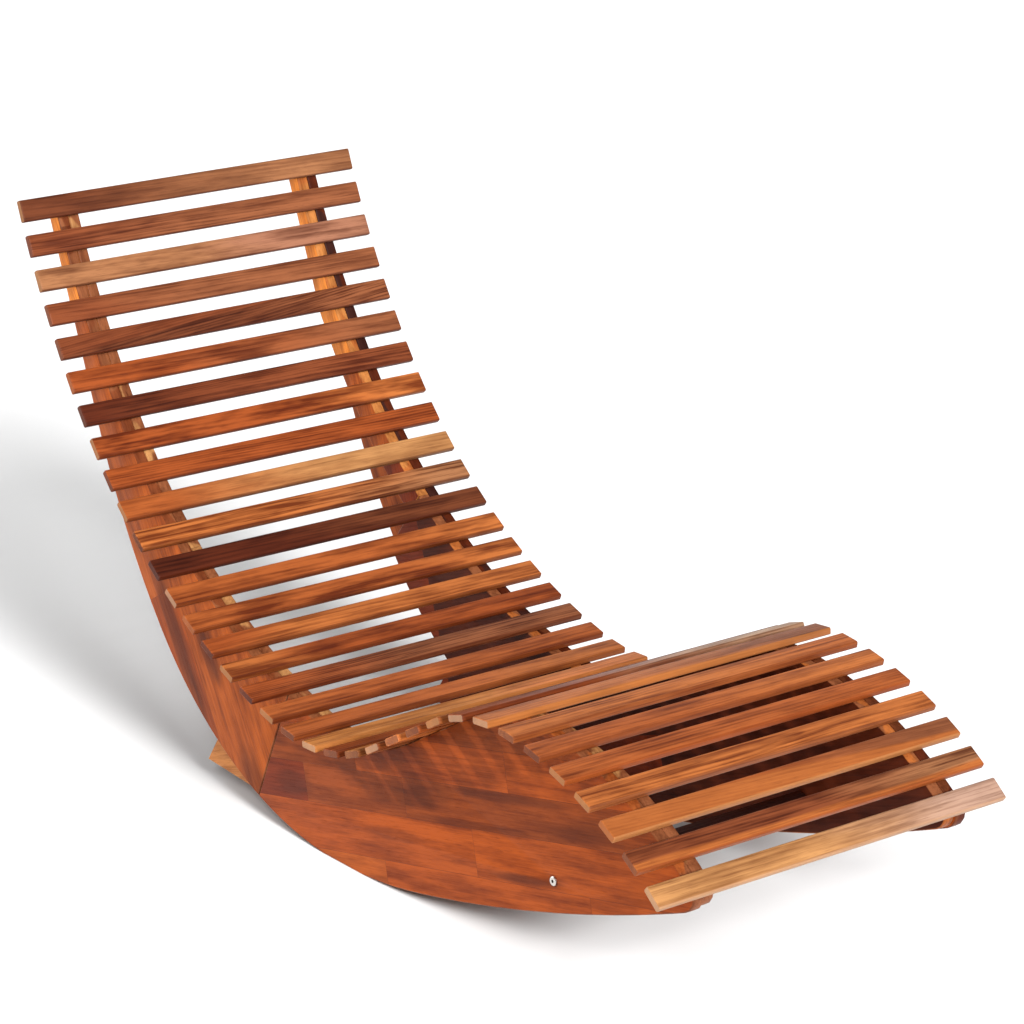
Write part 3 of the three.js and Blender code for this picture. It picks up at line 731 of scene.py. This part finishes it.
# The inner boards' edge tones are partly painted light and shade: lighter patches where light falls
# through the gaps.
inner_boards = [
    ("left", (honey, ginger), left_liner_shaded, (brown, ginger)),
    ("right", (brown, tan), right_liner, (brown, tan)),
]
for side, rail_edge, liner_courses, liner_edge in inner_boards:
    name = f"rail_board_{side}"
    rail_wood = glued_board(
        f"back_rail_wood_{side}", 112, rail_courses, rail_edge, patch_level=0.56, first_log=1
    )
    show(name, rounded_board(name, f"back_rail_{side}"), rail_wood, f"back_rail_{side}")
    name = f"liner_board_{side}"
    liner_wood = glued_board(f"liner_wood_{side}", 18.6, liner_courses, liner_edge, patch_level=0.54)
    show(name, rounded_board(name, f"base_liner_{side}"), liner_wood, f"base_liner_{side}")

# The cross rail ties the side frames together near the foot: one straight bar of hardwood, drawn up
# at each end by a bolt through the base panel into a round nut. Its near-black tone is painted shade,
# for the deep shade under the seat where it lies.
cross_axes = (grain_axis, np.array([1.0, 0.0, 0.0]), np.array([0.0, 0.0, -1.0]))
low, high = (np.array(corner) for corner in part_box("cross_rail"))
centre, pith = (low + high) / 2, (4.1, 0.02, 0.05)
cross_wood = hardwood("cross_rail_wood", cross_axes, centre, pith, 0.6, (deep_shade, deep_shade))
cross_mesh = eased_bar("cross_bar", centre, *cross_axes, (high - low)[[1, 0, 2]])
show("cross_bar", cross_mesh, cross_wood, "cross_rail")

# The hardware: bright zinc-plated socket bolts, round cross nuts and threaded inserts. The hexagon
# socket of each cross rail bolt, the only ones in plain view, is painted near black: painted shade
# in its recess.
dull_zinc, clean_zinc = (0.56, 0.53, 0.49, 1), (0.74, 0.71, 0.67, 1)
painted_socket_shade = (0.015, 0.012, 0.010, 1)
socket_floor, socket_rim = 0.0020, 0.0026


def zinc_plate(name):
    """Bright zinc with the faint mottle of its plating: the material, its shader's colour socket,
    the mottled colour, its node tree and Object coordinates."""
    material = bpy.data.materials.new(name)
    material.use_nodes = True
    tree = material.node_tree
    shader = tree.nodes["Principled BSDF"]
    shader.inputs["Metallic"].default_value = 1.0
    place = tree.nodes.new("ShaderNodeTexCoord").outputs["Object"]
    mottle = stretched_noise(tree, place, (300, 300, 300), 3.0)
    colour = blend_colours(tree, mottle, dull_zinc, clean_zinc)
    link(tree, smooth_step(tree, mottle, 0.3, 0.7, 0.26, 0.44), shader.inputs["Roughness"])
    link(tree, colour, shader.inputs["Base Color"])
    return material, shader.inputs["Base Color"], colour, tree, place


zinc = zinc_plate("bright_zinc")[0]
socketed_zinc, colour_socket, colour, tree, place = zinc_plate("socketed_zinc")
low, high = (np.array(corner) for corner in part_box("cross_rail_bolt_left"))
from_axis = tree.nodes.new("ShaderNodeVectorMath")
from_axis.operation = "SUBTRACT"
from_axis.inputs[1].default_value = (low + high) / 2
tree.links.new(place, from_axis.inputs[0])
flat = tree.nodes.new("ShaderNodeVectorMath")
flat.operation = "MULTIPLY"
flat.inputs[1].default_value = (1.0, 0.0, 1.0)
tree.links.new(from_axis.outputs[0], flat.inputs[0])
distance = tree.nodes.new("ShaderNodeVectorMath")
distance.operation = "LENGTH"
tree.links.new(flat.outputs[0], distance.inputs[0])
# painted shade in the bolt's hexagon socket
socket_shade_share = smooth_step(tree, distance.outputs["Value"], socket_floor, socket_rim, 1.0, 0.0)
link(tree, blend_colours(tree, socket_shade_share, colour, painted_socket_shade), colour_socket)
for name, node in frame["nodes"].items():
    if "bolt" in name or "nut" in name or "insert" in name:
        node.data.materials.clear()
        node.data.materials.append(socketed_zinc if "rail_bolt" in name else zinc)

# The head lamp lights every piece, and the floor alone is left out.
for shown in scene.objects:
    if shown.type == "MESH" and shown is not studio_floor:
        lit_pieces.objects.link(shown)
